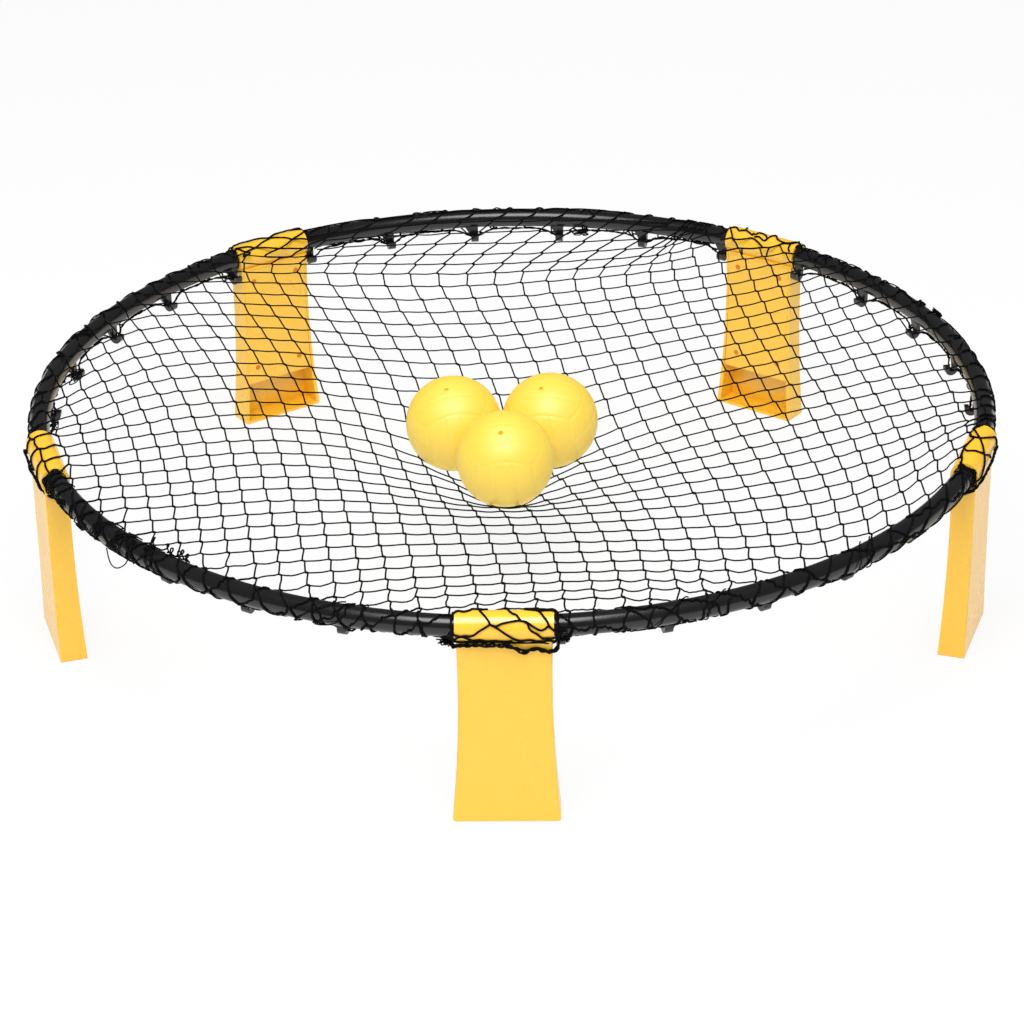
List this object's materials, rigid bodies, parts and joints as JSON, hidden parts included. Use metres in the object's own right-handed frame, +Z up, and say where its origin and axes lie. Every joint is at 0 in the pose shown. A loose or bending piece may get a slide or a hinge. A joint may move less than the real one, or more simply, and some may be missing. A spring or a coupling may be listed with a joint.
{
  "type": "roundnet set",
  "caption": "Low ring of curved tubes on folding legs with a ball net stretched across it and small balls resting in the net.",
  "frame": {"origin": "on the floor under the middle of the ring", "axes": "+Z up; the front leg is towards -Y"},
  "size_m": [0.9606, 0.9635, 0.2113],
  "materials": {
    "rim_black": "smooth semi-gloss",
    "plug_black": "plain moulded",
    "leg_yellow": "fine satin",
    "screw_steel": "dark zinc",
    "net_cord": "twisted cord with knots",
    "ball_yellow": "soft satin with raised seams",
    "valve_orange": "plain"
  },
  "bodies": {
    "rim": {"rim_tube_1": "rim_black", "rim_tube_2": "rim_black", "rim_tube_3": "rim_black", "rim_tube_4": "rim_black", "rim_tube_5": "rim_black", "rim_plug_1": "plug_black", "rim_plug_2": "plug_black", "rim_plug_3": "plug_black", "rim_plug_4": "plug_black", "rim_plug_5": "plug_black", "net": "net_cord", "net_border": "net_cord"},
    "leg_1": {"leg_shell_1": "leg_yellow", "leg_panel_1": "leg_yellow", "leg_screws_1": "screw_steel"},
    "leg_2": {"leg_shell_2": "leg_yellow", "leg_panel_2": "leg_yellow", "leg_screws_2": "screw_steel"},
    "leg_3": {"leg_shell_3": "leg_yellow", "leg_panel_3": "leg_yellow", "leg_screws_3": "screw_steel"},
    "leg_4": {"leg_shell_4": "leg_yellow", "leg_panel_4": "leg_yellow", "leg_screws_4": "screw_steel"},
    "leg_5": {"leg_shell_5": "leg_yellow", "leg_panel_5": "leg_yellow", "leg_screws_5": "screw_steel"},
    "ball_front": {"ball_front": "ball_yellow", "valve_front": "valve_orange"},
    "ball_left": {"ball_left": "ball_yellow", "valve_left": "valve_orange"},
    "ball_right": {"ball_right": "ball_yellow", "valve_right": "valve_orange"}
  },
  "joints": [
    {"name": "leg_fold_front", "type": "hinge", "parent": "rim", "child": "leg_1", "pos_m": [0, -0.467, 0.195], "axis": [1, 0, 0], "range_deg": [0, 55]},
    {"name": "leg_fold_right", "type": "hinge", "parent": "rim", "child": "leg_2", "pos_m": [0.44414, -0.14431, 0.195], "axis": [0.309, 0.9511, 0], "range_deg": [0, 55]},
    {"name": "leg_fold_back_right", "type": "hinge", "parent": "rim", "child": "leg_3", "pos_m": [0.27449, 0.37781, 0.195], "axis": [-0.809, 0.5878, 0], "range_deg": [0, 55]},
    {"name": "leg_fold_back_left", "type": "hinge", "parent": "rim", "child": "leg_4", "pos_m": [-0.27449, 0.37781, 0.195], "axis": [-0.809, -0.5878, 0], "range_deg": [0, 55]},
    {"name": "leg_fold_left", "type": "hinge", "parent": "rim", "child": "leg_5", "pos_m": [-0.44414, -0.14431, 0.195], "axis": [0.309, -0.9511, 0], "range_deg": [0, 55]},
    {"name": "ball_lift_front", "type": "slide", "parent": "rim", "child": "ball_front", "axis": [0, 0, 1], "range_m": [0, 0.3]},
    {"name": "ball_lift_left", "type": "slide", "parent": "rim", "child": "ball_left", "axis": [0, 0, 1], "range_m": [0, 0.3]},
    {"name": "ball_lift_right", "type": "slide", "parent": "rim", "child": "ball_right", "axis": [0, 0, 1], "range_m": [0, 0.3]}
  ]
}
